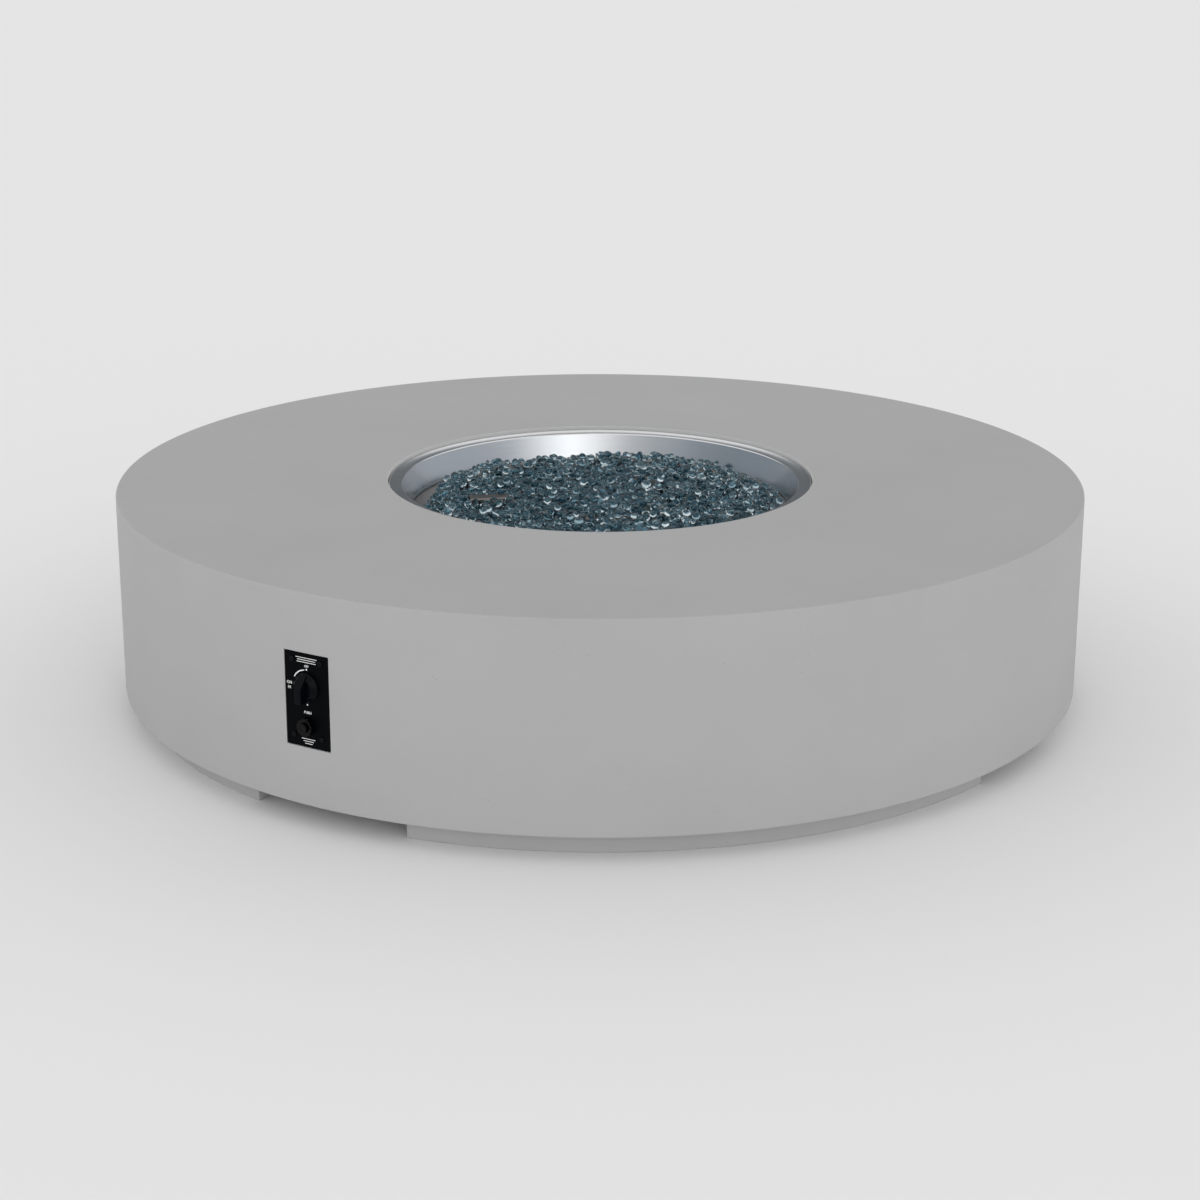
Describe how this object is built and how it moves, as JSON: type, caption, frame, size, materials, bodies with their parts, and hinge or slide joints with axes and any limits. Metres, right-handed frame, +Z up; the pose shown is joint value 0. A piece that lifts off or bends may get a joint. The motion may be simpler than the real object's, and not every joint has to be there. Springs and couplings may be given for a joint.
{
  "type": "gas fire pit",
  "caption": "Low round concrete fire pit with a drop-in steel gas burner under fire glass, and a side panel with a push-and-turn gas knob and a push igniter.",
  "frame": {"origin": "on the ground, under the middle of the drum", "axes": "+Z up along the drum's axis, the control panel faces -Y"},
  "size_m": [1.676, 1.699, 0.381],
  "materials": {
    "concrete": "matte",
    "stainless": "satin",
    "fire_glass": "gloss",
    "black_coat": "satin",
    "black_plastic": "satin",
    "zinc_steel": "satin",
    "brass": "satin",
    "cast_alloy": "matte",
    "feed_steel": "satin",
    "nylon": "matte",
    "insulator": "gloss",
    "copper": "satin",
    "silicone": "matte",
    "cell_wrap": "gloss"
  },
  "bodies": {
    "root": {"concrete_shell": "concrete", "foot_front_right": "concrete", "foot_rear_right": "concrete", "foot_rear_left": "concrete", "foot_front_left": "concrete", "burner_pan": "stainless", "burner_ring": "stainless", "pilot_hood": "stainless", "glass_bed": "fire_glass", "control_panel": "black_coat", "panel_screws": "black_coat", "igniter_bezel": "black_plastic", "igniter_housing": "black_plastic", "foot_bolts": "zinc_steel", "burner_locknut": "zinc_steel", "electrode_nut": "zinc_steel", "probe_nut": "zinc_steel", "button_spring": "zinc_steel", "battery_contact": "zinc_steel", "electrode_rod": "zinc_steel", "lead_clips": "zinc_steel", "burner_elbow": "brass", "orifice_fitting": "brass", "flare_nuts": "brass", "valve_locknut": "brass", "valve_end_cap": "brass", "valve_outlet_fitting": "brass", "inlet_elbow": "brass", "thermocouple_nut": "brass", "valve_body": "cast_alloy", "air_mixer": "cast_alloy", "feed_tube": "feed_steel", "wall_anchors": "nylon", "electrode_insulator": "insulator", "thermocouple_probe": "copper", "thermocouple_lead": "copper", "ignition_lead": "silicone", "battery": "cell_wrap"},
    "valve_plug": {"valve_plug": "brass", "stem_spring": "zinc_steel"},
    "knob": {"control_knob": "black_plastic", "valve_stem": "zinc_steel"},
    "igniter_button": {"igniter_button": "black_plastic"}
  },
  "joints": [
    {"name": "valve_turn", "type": "hinge", "parent": "root", "child": "valve_plug", "pos_m": [0, -0.8, 0.231], "axis": [0, -1, 0], "range_deg": [0, 180]},
    {"name": "knob_push", "type": "slide", "parent": "valve_plug", "child": "knob", "axis": [0, 1, 0], "range_m": [0, 0.003], "stiffness_N_per_m": 1200, "springref_m": -0.003, "deforming": ["stem_spring"]},
    {"name": "igniter_press", "type": "slide", "parent": "root", "child": "igniter_button", "axis": [0, 1, 0], "range_m": [0, 0.0033], "stiffness_N_per_m": 900, "springref_m": -0.003, "deforming": ["button_spring"]}
  ]
}
